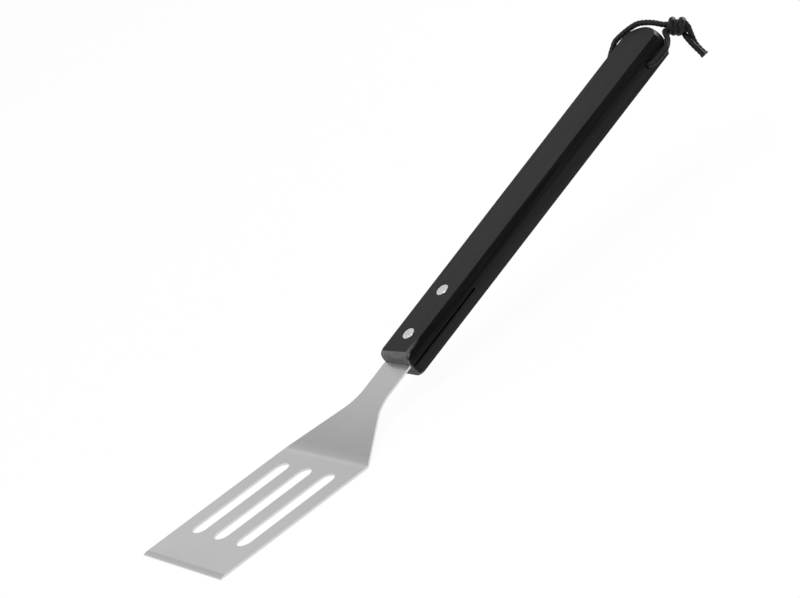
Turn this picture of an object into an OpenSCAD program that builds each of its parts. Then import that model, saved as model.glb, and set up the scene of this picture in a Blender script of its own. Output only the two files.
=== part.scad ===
// Slotted turner: a bent stainless blade riveted into a stained wooden handle,
// with a knotted hanging cord through a cross hole near the handle's rear end.
// +X runs from the blade's front edge to the handle, +Z is up from the flat blade.
// The origin is under the middle of the object, on the surface that the blade lies on.

/* [Blade] */
// Width of the blade at its front edge
blade_front_w = 75; // [66:0.5:90]
// How much wider the blade is at the bend than at its front edge
blade_flare = 1; // [0:0.5:8]
// Length of the flat blade, from its front edge to the bend
blade_len = 100; // [92:0.5:130]
// Thickness of the sheet
sheet_t = 1.2; // [0.8:0.1:2]
// Thickness left at the ground front edge
edge_t = 0.8; // [0.1:0.05:0.9]
// Length of the ground bevel along the front edge
bevel_len = 3.5; // [1:0.1:6]

/* [Slots] */
// Number of slots across the blade
slot_count = 3; // [1:1:3]
// Width of a slot
slot_w = 10.3; // [6:0.1:13]
// Length of a slot, with its round ends
slot_len = 65; // [30:0.5:68]
// Distance between the centres of neighbouring slots
slot_pitch = 21.3; // [17:0.1:23]
// Distance from the front edge to the slots
slot_front = 23.5; // [8:0.5:24]

/* [Shoulder and neck] */
// Angle by which the shoulder, neck and handle rise from the blade
rise_angle = 16.5; // [5:0.1:30]
// Inner radius of the bend
bend_r = 6; // [2:0.5:12]
// Length of the tapering shoulder, along its slope
shoulder_len = 37.5; // [32:0.5:50]
// Width of the neck and tang
neck_w = 22.5; // [16:0.5:25]
// Length of the neck that shows between the shoulder and the handle
neck_len = 27.2; // [20:0.2:60]
// Radius of the blade's rounded rear corners
corner_r = 5; // [1:0.5:8]
// Radius of the hollow curve between the shoulder and the neck
neck_fillet_r = 22; // [8:1:32]

/* [Handle] */
// Length of the handle, with the bulge of its rear end
handle_len = 250; // [200:0.5:300]
// Width of the flat top and bottom faces at the front
face_front_w = 22.8; // [20:0.2:25]
// Width of the flat top and bottom faces at the rear
face_rear_w = 25.3; // [22:0.1:28]
// How far each side bulges past the flat faces
side_bulge = 2.8; // [2:0.1:4]
// Thickness of the handle
handle_t = 15.5; // [14:0.5:20]
// Height of the middle of the kerf above the middle of the handle
kerf_rise = 0.9; // [0:0.1:2]
// Radius of the front corners, seen from above
nose_corner_r = 3; // [1:0.5:6]
// Radius of the front end's upper and lower edges
nose_edge_r = 2; // [0.5:0.25:4]
// Radius of the flat faces' round rear end, seen from above
tail_r = 16; // [15.5:0.5:24]
// How far the rear end bulges past the flat faces
tail_bulge = 2; // [1:0.1:2.2]
// Depth of the saw kerf that takes the tang
kerf_len = 56; // [48:0.5:70]
// Gap between the tang and each face of the kerf
kerf_gap = 0.1; // [0.05:0.05:0.4]
// Gap between the end of the tang and the end of the kerf
tang_end_gap = 1.5; // [0.5:0.1:4]

/* [Rivets] */
// Distance from the handle's front to the front rivet
front_rivet_at = 15.9; // [9:0.1:20]
// Distance between the two rivets
rivet_pitch = 31.4; // [20:0.1:33]
// Diameter of a rivet head
rivet_head_d = 7.5; // [6:0.1:9]
// Thickness of a rivet head
rivet_head_t = 1.5; // [0.8:0.1:2.5]
// Outer diameter of the hollow shank
socket_d = 5; // [4.4:0.1:5.6]
// Diameter of the solid shank
pin_d = 3.2; // [2:0.1:3.6]
// Gap all round a rivet in its hole
rivet_gap = 0.05; // [0.02:0.01:0.15]
// Gap between the end of a shank and what it points at
shank_end_gap = 0.3; // [0.1:0.1:0.8]

/* [Cord] */
// Diameter of the cord
cord_d = 3; // [2:0.1:3.4]
// Diameter of the cross hole
cord_hole_d = 4; // [3.8:0.1:5]
// Distance from the handle's rear end to the cross hole
cord_hole_back = 24.5; // [20:0.5:32]
// Distance between the turns of the knot
knot_pitch = 4; // [2.5:0.1:4.5]
// Radius at the middle of the knot's turns
knot_turn_r = 3.9; // [2.5:0.1:4.5]
// Lean of the knot's turns
knot_lean = 16; // [0:1:25]

/* [Hidden] */

// How far a cut runs past the solid that it cuts
overrun = 1;
// Facets of a full circle
$fn = 96;
// Points along a rounded corner or bend of the sheet
corner_steps = 10;
// Sides of the cord
cord_sides = 8;
// Turns that show in the knot
knot_turns = 3;

// The kerf, the tang and the places along the slope, counted from the bend
kerf_h = sheet_t + 2 * kerf_gap;
handle_front = shoulder_len + neck_len;
handle_rear = handle_front + handle_len;
tang_end = handle_front + kerf_len - tang_end_gap;
front_rivet = handle_front + front_rivet_at;
rear_rivet = front_rivet + rivet_pitch;
cord_hole = handle_rear - cord_hole_back;

// The handle's sides: arcs from arris to arris, drawing apart towards the rear
side_r = (pow(handle_t / 2, 2) + pow(side_bulge, 2)) / (2 * side_bulge);
side_spread = atan((face_rear_w - face_front_w) / 2 / handle_len);
handle_front_w = face_front_w + 2 * side_bulge;
handle_rear_w = face_rear_w + 2 * side_bulge;

// The handle's rear end: an arc from edge to edge, turned about an upright axis
tail_side_r = (pow(handle_t / 2, 2) + pow(tail_bulge, 2)) / (2 * tail_bulge);
tail_axis = handle_rear - tail_bulge - tail_r;

// Reach of the object along X, and the origin under its middle
tail_turn = min(rise_angle, asin(handle_t / 2 / tail_side_r));
rear_reach = blade_len + (handle_rear - tail_side_r) * cos(rise_angle)
    + kerf_rise * sin(rise_angle) + tail_side_r * cos(rise_angle - tail_turn);
origin_x = rear_reach / 2;
blade_rear_w = blade_front_w + blade_flare;

// Route of the cord loop from the knot along the right leg, through the cross hole and back along
// the left leg. Points are along the handle, across it and up, from the middle of the hole.
loop_route = [
    [29.8, -9.2, -0.8], [28.6, -7.2, -0.6], [27, -7, 0], [24.8, -9.2, 0.6], [21.4, -13.4, 0.4],
    [17.8, -16.6, 0.3], [13.4, -19.1, 0.3], [9.3, -20, 0.3], [5.8, -19.7, 0.3], [2.8, -18.8, 0.1],
    [0.8, -17.2, 0], [0, -15, 0], [0, -7, 0], [0, 0, 0], [0, 7, 0], [0, 15, 0],
    [0.9, 17.4, 0.6], [2.8, 18.9, 1.7], [5.6, 19.3, 3.1], [9, 19.1, 4.8], [12.6, 18.3, 6.6],
    [17.6, 15.5, 7.4], [21.8, 11.9, 8], [24.6, 7.8, 8.3], [26.4, 3, 7.4], [27.4, -1.4, 6.2],
    [28, -4.6, 4.8], [28.9, -7.4, 3.2], [30.8, -10.8, 1.9]];
inner_tail_route = [[32.2, -13.2, -5.6], [30.7, -15.4, -8.2], [29.4, -18, -11.4],
    [28.3, -20.9, -14.9], [27.7, -23, -17.8], [27.3, -24.2, -19.4]];
outer_tail_route = [[35, -16, -1.7], [34.4, -17.3, -3.8], [33.6, -17.3, -6.7],
    [33.4, -16.4, -10.2], [31.9, -17.3, -13.8], [30.8, -19.4, -17.4], [30.4, -21.6, -21.5]];
// Middle of the knot, and the way that it points
knot_centre = [32.2, -12.6, -1.5];
knot_way = [0.5, -0.65, -0.57];

// Unit vector along v
function unit(v) = v / norm(v);

// Points of a round corner of radius r at b, between the sides to a and to c
function round_corner(a, b, c, r) =
    let (to_a = unit(a - b), to_c = unit(c - b), half = acos(to_a * to_c) / 2)
    let (centre = b + unit(to_a + to_c) * r / sin(half))
    let (from = b + to_a * r / tan(half) - centre, to = b + to_c * r / tan(half) - centre)
    let (start = atan2(from.y, from.x), turn = (atan2(to.y, to.x) - start + 540) % 360 - 180)
    [for (i = [0:corner_steps])
        centre + r * [cos(start + turn * i / corner_steps), sin(start + turn * i / corner_steps)]];

// One side of the blank's outline seen from above, from the front corner to the tang's end
function blank_side() =
    let (slope = cos(rise_angle), front = [0, blade_front_w / 2], rear = [blade_len, blade_rear_w / 2])
    let (neck = [blade_len + shoulder_len * slope, neck_w / 2])
    let (tang = [blade_len + tang_end * slope, neck_w / 2])
    concat([front], round_corner(front, rear, neck, corner_r),
        round_corner(rear, neck, tang, neck_fillet_r), [tang]);

// One face of the sheet seen from the side, at h above its middle, with its bend rounded to r
function sheet_face(h, r) =
    let (front = [0, sheet_t / 2 + h], corner = [blade_len - h * tan(rise_angle / 2), front.y])
    let (along = [cos(rise_angle), sin(rise_angle)], out = [-along.y, along.x])
    let (rear = [blade_len, sheet_t / 2] + (tang_end + overrun) * along + h * out)
    concat([front], round_corner(front, corner, rear, r), [rear]);

// The same list with y turned over, in the other order
function mirrored(side) = [for (i = [len(side) - 1:-1:0]) [side[i].x, -side[i].y]];

// Directions along a route, and normals carried along it without twist
function ways(route) = [for (i = [0:len(route) - 1])
    unit(route[min(i + 1, len(route) - 1)] - route[max(i - 1, 0)])];
function carried(way, i, normal, list) = i == len(way) ? list
    : let (flat = unit(normal - way[i] * (normal * way[i])))
        carried(way, i + 1, flat, concat(list, [flat]));

// A tube swept along a route
module tube(route, r) {
    way = ways(route);
    first = unit(cross(way[0], abs(way[0].z) < 1 / 2 ? [0, 0, 1] : [1, 0, 0]));
    normal = carried(way, 0, first, []);
    last = len(route) - 1;
    points = [for (i = [0:last], k = [0:cord_sides - 1])
        let (turn = 360 * k / cord_sides)
        route[i] + r * (normal[i] * cos(turn) + cross(way[i], normal[i]) * sin(turn))];
    walls = [for (i = [0:last - 1], k = [0:cord_sides - 1])
        let (a = i * cord_sides + k, b = i * cord_sides + (k + 1) % cord_sides)
        each [[a, b + cord_sides, b], [a, a + cord_sides, b + cord_sides]]];
    ends = [for (k = [1:cord_sides - 2])
        each [[0, k, k + 1], [last * cord_sides, last * cord_sides + k + 1, last * cord_sides + k]]];
    polyhedron(points, concat(walls, ends));
}

// Moves children from the blade's front edge to the object's own origin
module from_front() {
    translate([-origin_x, 0, 0]) children();
}

// Moves children from the bend along the slope of the shoulder and handle
module on_slope() {
    from_front() translate([blade_len, 0, sheet_t / 2]) rotate([0, -rise_angle, 0]) children();
}

// Moves children from the tang's middle to the handle's middle, on the slope
module on_handle() {
    on_slope() translate([0, 0, -kerf_rise]) children();
}

// Moves children to the middle of the cross hole
module at_cord_hole() {
    on_handle() translate([cord_hole, 0, 0]) children();
}

// The sheet, flat then bent up, at full width all along
module bent_sheet() {
    lower = sheet_face(-sheet_t / 2, bend_r + sheet_t);
    upper = sheet_face(sheet_t / 2, bend_r);
    translate([0, blade_rear_w / 2, 0]) rotate([90, 0, 0]) linear_extrude(blade_rear_w)
        polygon(concat(lower, [for (i = [len(upper) - 1:-1:0]) upper[i]]));
}

// One slot with round ends, cut through the blade
module slot() {
    depth = sheet_t + 2 * overrun;
    translate([slot_front + slot_w / 2, 0, -overrun]) {
        for (x = [0, slot_len - slot_w]) translate([x, 0, 0]) cylinder(d = slot_w, h = depth);
        translate([0, -slot_w / 2, 0]) cube([slot_len - slot_w, slot_w, depth]);
    }
}

// What the grinding takes off the top of the front edge
module bevel_waste() {
    slope = (sheet_t - edge_t) / bevel_len;
    reach = blade_rear_w + 2 * overrun;
    translate([0, reach / 2, 0]) rotate([90, 0, 0]) linear_extrude(reach)
        polygon([[-overrun, edge_t - overrun * slope], [bevel_len, sheet_t],
            [bevel_len, sheet_t + overrun], [-overrun, sheet_t + overrun]]);
}

module blade_sheet() {
    side = blank_side();
    color("lightgray") from_front() difference() {
        intersection() {
            bent_sheet();
            translate([0, 0, -overrun]) linear_extrude(rear_reach)
                polygon(concat(mirrored(side), side));
        }
        for (i = [0:slot_count - 1])
            translate([0, (i - (slot_count - 1) / 2) * slot_pitch, 0]) slot();
        bevel_waste();
        translate([blade_len, 0, sheet_t / 2]) rotate([0, -rise_angle, 0])
            for (x = [front_rivet, rear_rivet]) translate([x, 0, 0])
                cylinder(d = socket_d + 2 * rivet_gap, h = sheet_t + 2 * overrun, center = true);
    }
}

// What bounds one side of the handle: its arc, seen from the front, filled past the other side
module side_section() {
    crest = handle_front_w / 2 * cos(side_spread);
    translate([crest - side_r, 0]) circle(side_r);
    translate([-handle_rear_w, -side_r]) square([handle_rear_w + crest - 2 * side_bulge, 2 * side_r]);
}

// The same along the whole side, drawn apart from the middle by the spread of the sides
module side_bound() {
    translate([handle_front, 0, 0]) rotate([0, 0, side_spread]) translate([-overrun, 0, 0])
        rotate([90, 0, 90]) linear_extrude(handle_len + 2 * overrun) side_section();
}

// Outline of the handle seen from above, past its sides and its rear end
module handle_plan() {
    corner_y = handle_front_w / 2 + nose_corner_r * (tan(side_spread) - 1 / cos(side_spread));
    corner_run = nose_corner_r * (1 - sin(side_spread));
    translate([handle_front, -corner_y]) square([handle_len, 2 * corner_y]);
    translate([handle_front + corner_run, -handle_rear_w]) square([handle_len, 2 * handle_rear_w]);
    for (side = [-1, 1])
        translate([handle_front + nose_corner_r, side * corner_y]) circle(nose_corner_r);
}

// What bounds the handle's rear end: a bulging barrel, filled past the front end
module rear_bound() {
    reach = tail_r + tail_bulge;
    translate([tail_axis, 0, 0]) rotate_extrude() intersection() {
        translate([reach - tail_side_r, 0]) circle(tail_side_r);
        translate([0, -handle_t]) square([reach + overrun, 2 * handle_t]);
    }
    translate([handle_front - overrun, -handle_rear_w, -handle_t])
        cube([tail_axis - handle_front + overrun, 2 * handle_rear_w, 2 * handle_t]);
}

// Outline of the handle seen from the side, past its rear end
module handle_profile() {
    nose_t = handle_t - 2 * nose_edge_r;
    translate([handle_front + nose_edge_r, -handle_t / 2]) square([handle_len, handle_t]);
    translate([handle_front, -nose_t / 2]) square([2 * nose_edge_r, nose_t]);
    for (side = [-1, 1])
        translate([handle_front + nose_edge_r, side * nose_t / 2]) circle(nose_edge_r);
}

module handle() {
    color("#1f1e1d") on_handle() difference() {
        intersection() {
            side_bound();
            mirror([0, 1, 0]) side_bound();
            rear_bound();
            translate([0, 0, -handle_t]) linear_extrude(2 * handle_t) handle_plan();
            translate([0, handle_rear_w, 0]) rotate([90, 0, 0])
                linear_extrude(2 * handle_rear_w) handle_profile();
        }
        translate([handle_front - overrun, -handle_rear_w, kerf_rise - kerf_h / 2])
            cube([kerf_len + overrun, 2 * handle_rear_w, kerf_h]);
        for (x = [front_rivet, rear_rivet]) translate([x, 0, 0]) {
            cylinder(d = socket_d + 2 * rivet_gap, h = handle_t + 2 * overrun, center = true);
            for (side = [0, 1]) mirror([0, 0, side])
                translate([0, 0, handle_t / 2 - rivet_head_t])
                    cylinder(d = rivet_head_d + 2 * rivet_gap, h = rivet_head_t + overrun);
        }
        translate([cord_hole, 0, 0]) rotate([90, 0, 0])
            cylinder(d = cord_hole_d, h = 2 * handle_rear_w, center = true);
    }
}

// Upper half of a rivet: a head flush with the top face, on a hollow shank
module rivet_socket(x) {
    head_seat = handle_t / 2 - rivet_head_t;
    shank = handle_t - 2 * rivet_head_t - shank_end_gap;
    color("silver") on_handle() translate([x, 0, 0]) difference() {
        union() {
            translate([0, 0, head_seat]) cylinder(d = rivet_head_d, h = rivet_head_t);
            translate([0, 0, head_seat - shank]) cylinder(d = socket_d, h = shank);
        }
        translate([0, 0, head_seat - shank - overrun])
            cylinder(d = pin_d + rivet_gap, h = shank + overrun);
    }
}

// Lower half of a rivet: a head flush with the bottom face, on a solid shank
module rivet_pin(x) {
    shank = handle_t - 2 * rivet_head_t - shank_end_gap;
    color("silver") on_handle() translate([x, 0, -handle_t / 2]) {
        cylinder(d = rivet_head_d, h = rivet_head_t);
        cylinder(d = pin_d, h = rivet_head_t + shank);
    }
}

module cord_loop() {
    color("#26241f") at_cord_hole() tube(loop_route, cord_d / 2);
}

// The knot's turns lie side by side round its core and lean along it
module cord_knot() {
    way = unit(knot_way);
    length = (knot_turns - 1) * knot_pitch;
    color("#1d1b18") at_cord_hole() translate(knot_centre)
        rotate([0, acos(way.z), atan2(way.y, way.x)]) {
            for (i = [0:knot_turns - 1]) translate([0, 0, (i * knot_pitch - length / 2)])
                rotate([0, knot_lean, 0]) rotate_extrude()
                    translate([knot_turn_r, 0]) circle(d = cord_d);
            cylinder(r = knot_turn_r, h = length + cord_d / 2, center = true);
        }
}

module inner_tail() {
    color("#26241f") at_cord_hole() tube(inner_tail_route, cord_d / 2);
}

module outer_tail() {
    color("#26241f") at_cord_hole() tube(outer_tail_route, cord_d / 2);
}

blade_sheet();
handle();
rivet_socket(front_rivet);  // front_rivet_socket
rivet_pin(front_rivet);  // front_rivet_pin
rivet_socket(rear_rivet);  // rear_rivet_socket
rivet_pin(rear_rivet);  // rear_rivet_pin
cord_loop();
cord_knot();
inner_tail();
outer_tail();
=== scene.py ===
"""Slotted turner with a bent steel blade, a black stained wooden handle and a knotted hanging cord.

Lengths in the classes are millimetres and become metres as each mesh is placed. The slope is the
straight line of the shoulder, neck and handle, which rises from the flat blade at its bend.
"""

from __future__ import annotations

import logging
import math
from collections.abc import Callable, Iterable
from dataclasses import dataclass, replace
from enum import Enum

import bmesh
import bpy
from mathutils import Euler, Matrix, Vector

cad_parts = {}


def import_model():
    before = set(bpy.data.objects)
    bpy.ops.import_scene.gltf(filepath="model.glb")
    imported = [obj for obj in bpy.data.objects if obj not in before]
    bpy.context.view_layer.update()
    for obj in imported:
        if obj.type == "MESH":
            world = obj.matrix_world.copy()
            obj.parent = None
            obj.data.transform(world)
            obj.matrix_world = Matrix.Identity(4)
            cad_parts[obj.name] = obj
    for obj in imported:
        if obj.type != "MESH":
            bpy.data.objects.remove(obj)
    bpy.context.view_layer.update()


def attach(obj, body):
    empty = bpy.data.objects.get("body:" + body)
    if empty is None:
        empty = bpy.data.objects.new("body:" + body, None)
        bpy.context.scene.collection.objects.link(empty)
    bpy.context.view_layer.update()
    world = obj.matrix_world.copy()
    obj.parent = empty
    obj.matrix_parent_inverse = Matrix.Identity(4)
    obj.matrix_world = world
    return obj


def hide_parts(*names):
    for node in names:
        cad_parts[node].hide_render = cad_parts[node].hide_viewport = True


LOG = logging.getLogger("turner")
# What can feed a socket: an output, or a node with its first output.
Feed = bpy.types.NodeSocket | bpy.types.Node
Route = tuple[tuple[float, float, float], ...]
MM = 0.001
FULL_TURN = 2 * math.pi
UP = Vector((0, 0, 1))
# Distances in millimetres under which two heights count as one, and two points are merged.
TOUCH = 1e-4
WELD = 1e-5


class Body(Enum):
    """Names of the two bodies that pieces ride on."""

    TURNER = "turner"
    CORD = "hanging_cord"


class Slot(Enum):
    """Names of the record's material slots."""

    STEEL = "stainless_sheet"
    WOOD = "stained_wood"
    RIVET = "rivet_metal"
    CORD = "waxed_cord"


# Small helpers for shader nodes and meshes.


def linear(colour: str) -> tuple[float, float, float, float]:
    """Turns an sRGB hex colour into linear values.

    Args:
        colour: Six hex digits after a hash sign.

    Returns:
        Red, green, blue and an alpha of one.
    """
    parts = [int(colour[i : i + 2], 16) / 255 for i in (1, 3, 5)]
    red, green, blue = (
        c / 12.92 if c <= 0.04045 else ((c + 0.055) / 1.055) ** 2.4 for c in parts
    )
    return red, green, blue, 1.0


def add_node(
    tree: bpy.types.NodeTree, kind: str, inputs: dict | None = None, **settings: object
) -> bpy.types.Node:
    """Adds a shader node with its settings, values and links.

    Args:
        tree: Node tree that takes the node.
        kind: Blender's name of the node type.
        inputs: Socket name or number to a value, to a hex colour, to the output that feeds it, or
            to the node that feeds it with its first output.
        settings: Properties of the node itself.

    Returns:
        The new node.
    """
    node = tree.nodes.new(kind)
    for name, value in settings.items():
        setattr(node, name, value)
    for name, value in (inputs or {}).items():
        if isinstance(value, bpy.types.Node):
            value = value.outputs[0]
        if isinstance(value, bpy.types.NodeSocket):
            tree.links.new(value, node.inputs[name])
        else:
            node.inputs[name].default_value = linear(value) if isinstance(value, str) else value
    return node


def new_material(name: str) -> tuple[bpy.types.Material, bpy.types.NodeTree]:
    """Makes an empty node material.

    Args:
        name: The material's name.

    Returns:
        The material and its cleared node tree.
    """
    material = bpy.data.materials.new(name)
    material.use_nodes = True
    material.node_tree.nodes.clear()
    return material, material.node_tree


def dress(tree: bpy.types.NodeTree, inputs: dict) -> None:
    """Ends a material in one Principled surface with these values and links."""
    surface = add_node(tree, "ShaderNodeBsdfPrincipled", inputs)
    add_node(tree, "ShaderNodeOutputMaterial", {"Surface": surface})


def dress_mixed(
    tree: bpy.types.NodeTree,
    share: float | bpy.types.Node,
    first: bpy.types.Node,
    second: bpy.types.Node,
) -> None:
    """Ends a material in a blend of two shaders, given the share of the second."""
    mixed = add_node(tree, "ShaderNodeMixShader", {0: share, 1: first, 2: second})
    add_node(tree, "ShaderNodeOutputMaterial", {"Surface": mixed})


def zone(
    tree: bpy.types.NodeTree,
    bounds: Iterable[tuple[Feed, tuple[float, float]]],
    share: float | Feed = 1.0,
) -> bpy.types.Node:
    """Adds a mask that is full where every value is past its bound.

    Args:
        tree: Node tree that takes the nodes.
        bounds: Each value, with where it starts to count and where it counts in full.
        share: Mask to start from.

    Returns:
        Node whose output is the mask, from 0 to 1.
    """
    for value, (low, high) in bounds:
        step = add_node(
            tree,
            "ShaderNodeMapRange",
            {"Value": value, "From Min": low, "From Max": high},
            interpolation_type="SMOOTHSTEP",
        )
        share = add_node(tree, "ShaderNodeMath", {0: share, 1: step}, operation="MULTIPLY")
    return share


def weighted_sum(
    tree: bpy.types.NodeTree, parts: Iterable[tuple[Feed, float]], base: float | Feed = 0.0
) -> bpy.types.Node:
    """Adds shares of several values to a base.

    Args:
        tree: Node tree that takes the nodes.
        parts: Each value and its weight.
        base: What they are added to.

    Returns:
        Node whose output is the sum.
    """
    for value, weight in parts:
        inputs = {0: value, 1: weight, 2: base}
        base = add_node(tree, "ShaderNodeMath", inputs, operation="MULTIPLY_ADD")
    return base


def stepped(
    tree: bpy.types.NodeTree,
    value: Feed,
    steps: Iterable[tuple[tuple[float, float], float]],
    base: float | Feed,
) -> bpy.types.Node:
    """Adds smooth steps of a value to a base, each with the run it takes and its height."""
    return weighted_sum(tree, [(zone(tree, [(value, run)]), gain) for run, gain in steps], base)


def apart(tree: bpy.types.NodeTree, value: Feed, middle: float) -> bpy.types.Node:
    """Adds the distance of a value from a middle, on either side."""
    shifted = add_node(tree, "ShaderNodeMath", {0: value, 1: middle}, operation="SUBTRACT")
    return add_node(tree, "ShaderNodeMath", {0: shifted}, operation="ABSOLUTE")


def painted(
    tree: bpy.types.NodeTree, base: str | Feed, coats: Iterable[tuple[Feed, str | Feed]]
) -> bpy.types.NodeSocket:
    """Adds colours over a colour, one after the other.

    Args:
        tree: Node tree that takes the nodes.
        base: Colour that lies lowest.
        coats: Each mask, and the colour that shows where it is full.

    Returns:
        Output with the colour.
    """
    for mask, colour in coats:
        inputs = {0: mask, 6: base, 7: colour}
        base = add_node(tree, "ShaderNodeMix", inputs, data_type="RGBA").outputs[2]
    return base


def local_position(tree: bpy.types.NodeTree, frame: Matrix) -> bpy.types.Node:
    """Adds the Object coordinates as seen in a frame that is turned about Y and shifted.

    Args:
        tree: Node tree that takes the nodes.
        frame: Place and turn of that frame in the row frame.

    Returns:
        Node whose output is the position in the frame, in metres.
    """
    place = add_node(tree, "ShaderNodeTexCoord").outputs["Object"]
    inputs = {"Vector": place, "Location": frame.translation, "Rotation": frame.to_euler()}
    return add_node(tree, "ShaderNodeMapping", inputs, vector_type="TEXTURE")


def in_millimetres(tree: bpy.types.NodeTree, place: Feed) -> bpy.types.NodeOutputs:
    """Adds the parts of a position, in millimetres.

    Args:
        tree: Node tree that takes the nodes.
        place: The position in metres.

    Returns:
        Outputs named X, Y and Z.
    """
    inputs = {0: place, "Scale": 1 / MM}
    scaled = add_node(tree, "ShaderNodeVectorMath", inputs, operation="SCALE")
    return add_node(tree, "ShaderNodeSeparateXYZ", {0: scaled}).outputs


def stretched_noise(
    tree: bpy.types.NodeTree, place: Feed, grain_mm: tuple[float, float, float], detail: float
) -> bpy.types.Node:
    """Adds a noise whose grain has a real size along each axis.

    Args:
        tree: Node tree that takes the nodes.
        place: The position in metres.
        grain_mm: Length of the grain along each axis.
        detail: Octaves of finer noise.

    Returns:
        Node whose first output is the noise, about 0 to 1.
    """
    scale = [1 / (grain * MM) for grain in grain_mm]
    laid = add_node(tree, "ShaderNodeMapping", {"Vector": place, "Scale": scale})
    inputs = {"Vector": laid, "Scale": 1.0, "Detail": detail}
    return add_node(tree, "ShaderNodeTexNoise", inputs)


def place_mesh(mesh: bmesh.types.BMesh, matrix: Matrix) -> None:
    """Moves a whole mesh from its own frame to the row frame."""
    bmesh.ops.transform(mesh, matrix=matrix, verts=mesh.verts)


def bevel(
    mesh: bmesh.types.BMesh, geom: list, offset: float, segments: int, affect: str = "EDGES"
) -> None:
    """Rounds edges or corners of a mesh.

    Args:
        mesh: Mesh that holds them.
        geom: The edges or corners.
        offset: Length taken off each side.
        segments: Steps across the rounding.
        affect: EDGES, or VERTICES for corners.
    """
    bmesh.ops.bevel(
        mesh,
        geom=geom,
        offset=offset,
        offset_type="OFFSET",
        affect=affect,
        segments=segments,
        profile=0.5,
        material=-1,
        clamp_overlap=affect == "EDGES",
    )


def add_object(name: str, data: bpy.types.ID) -> bpy.types.Object:
    """Puts a mesh, a lamp or a camera into the scene.

    Args:
        name: The new object's name.
        data: What it shows.

    Returns:
        The new object.
    """
    thing = bpy.data.objects.new(name, data)
    bpy.context.scene.collection.objects.link(thing)
    return thing


def as_object(mesh: bmesh.types.BMesh, name: str) -> bpy.types.Object:
    """Turns a mesh into an object of the scene.

    Args:
        mesh: The mesh. It is freed.
        name: The new object's name.

    Returns:
        The new object.
    """
    data = bpy.data.meshes.new(name)
    mesh.to_mesh(data)
    mesh.free()
    return add_object(name, data)


def finish_mesh(
    mesh: bmesh.types.BMesh,
    name: str,
    material: bpy.types.Material,
    crease_deg: float = 40,
    weighted: bool = True,
) -> bpy.types.Object:
    """Turns a mesh into an object with smooth shading between its creases.

    Args:
        mesh: The mesh in the row frame. It is freed.
        name: The new object's name.
        material: What it is made of.
        crease_deg: Angle from which an edge stays sharp.
        weighted: True where large flat faces keep their own shading.

    Returns:
        The new object.
    """
    for face in mesh.faces:
        face.smooth = True
    limit = math.radians(crease_deg)
    for edge in mesh.edges:
        edge.smooth = not edge.is_manifold or edge.calc_face_angle(0) < limit
    piece = as_object(mesh, name)
    piece.data.materials.append(material)
    if weighted:
        shading = piece.modifiers.new("Shading", "WEIGHTED_NORMAL")
        shading.keep_sharp = True
    return piece


def fit_out(piece: bpy.types.Object, body: Body, slot: Slot, *nodes: str) -> None:
    """Says what a piece rides on and hides the CAD nodes that it stands for.

    Args:
        piece: The finished piece.
        body: Body that carries it.
        slot: Not used. The record's slot of its finish.
        nodes: CAD nodes that it replaces.
    """
    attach(piece, body.value)
    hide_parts(*nodes)
    LOG.info("%s: %d faces, stands for %s", piece.name, len(piece.data.polygons), ", ".join(nodes))


# Sizes that several pieces share.


@dataclass(frozen=True)
class Slope:
    """Place of the slope and the sizes that several pieces share, in millimetres."""

    blade_len: float = 100
    sheet_t: float = 1.2
    rise_deg: float = 16.5
    shoulder_len: float = 37.5
    neck_len: float = 27.2
    handle_len: float = 250
    handle_t: float = 15.5
    tail_bulge: float = 2
    kerf_rise: float = 0.9
    kerf_len: float = 56
    hole_back: float = 24.5
    rivets: tuple[float, float] = (15.9, 47.3)

    @property
    def rise(self) -> float:
        """Angle of the slope in radians."""
        return math.radians(self.rise_deg)

    @property
    def handle_front(self) -> float:
        """Distance from the bend to the handle."""
        return self.shoulder_len + self.neck_len

    @property
    def hole_along(self) -> float:
        """Distance from the bend to the cross hole."""
        return self.handle_front + self.handle_len - self.hole_back

    @property
    def tail_side_r(self) -> float:
        """Radius of the handle's bulging rear end, seen from the side."""
        half = self.handle_t / 2
        return (half**2 + self.tail_bulge**2) / (2 * self.tail_bulge)

    @property
    def origin_x(self) -> float:
        """Half the object's reach along X, where the row frame has its origin.

        Returns:
            Distance from the blade's front edge.
        """
        swell = self.tail_side_r
        turn = min(self.rise, math.asin(self.handle_t / 2 / swell))
        rear = self.handle_front + self.handle_len - swell
        reach = self.blade_len + rear * math.cos(self.rise)
        reach += self.kerf_rise * math.sin(self.rise) + swell * math.cos(self.rise - turn)
        return reach / 2

    @property
    def bend(self) -> Vector:
        """Middle of the sheet at the bend, in the row frame."""
        return Vector((self.blade_len - self.origin_x, 0, self.sheet_t / 2))

    def at(self, along: float, out: float) -> Matrix:
        """Frame on the slope.

        Args:
            along: Distance from the bend.
            out: Distance above the middle of the sheet.

        Returns:
            Matrix from millimetres in that frame to metres in the row frame.
        """
        turn = Matrix.Rotation(-self.rise, 4, "Y")
        origin = self.bend + turn @ Vector((along, 0, out))
        return Matrix.Scale(MM, 4) @ Matrix.Translation(origin) @ turn

    @property
    def handle(self) -> Matrix:
        """Frame at the front of the handle, on its middle line."""
        return self.at(self.handle_front, -self.kerf_rise)

    @property
    def hole(self) -> Matrix:
        """Frame at the middle of the cross hole."""
        return self.at(self.hole_along, -self.kerf_rise)


# Finishes of the four materials.


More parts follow.
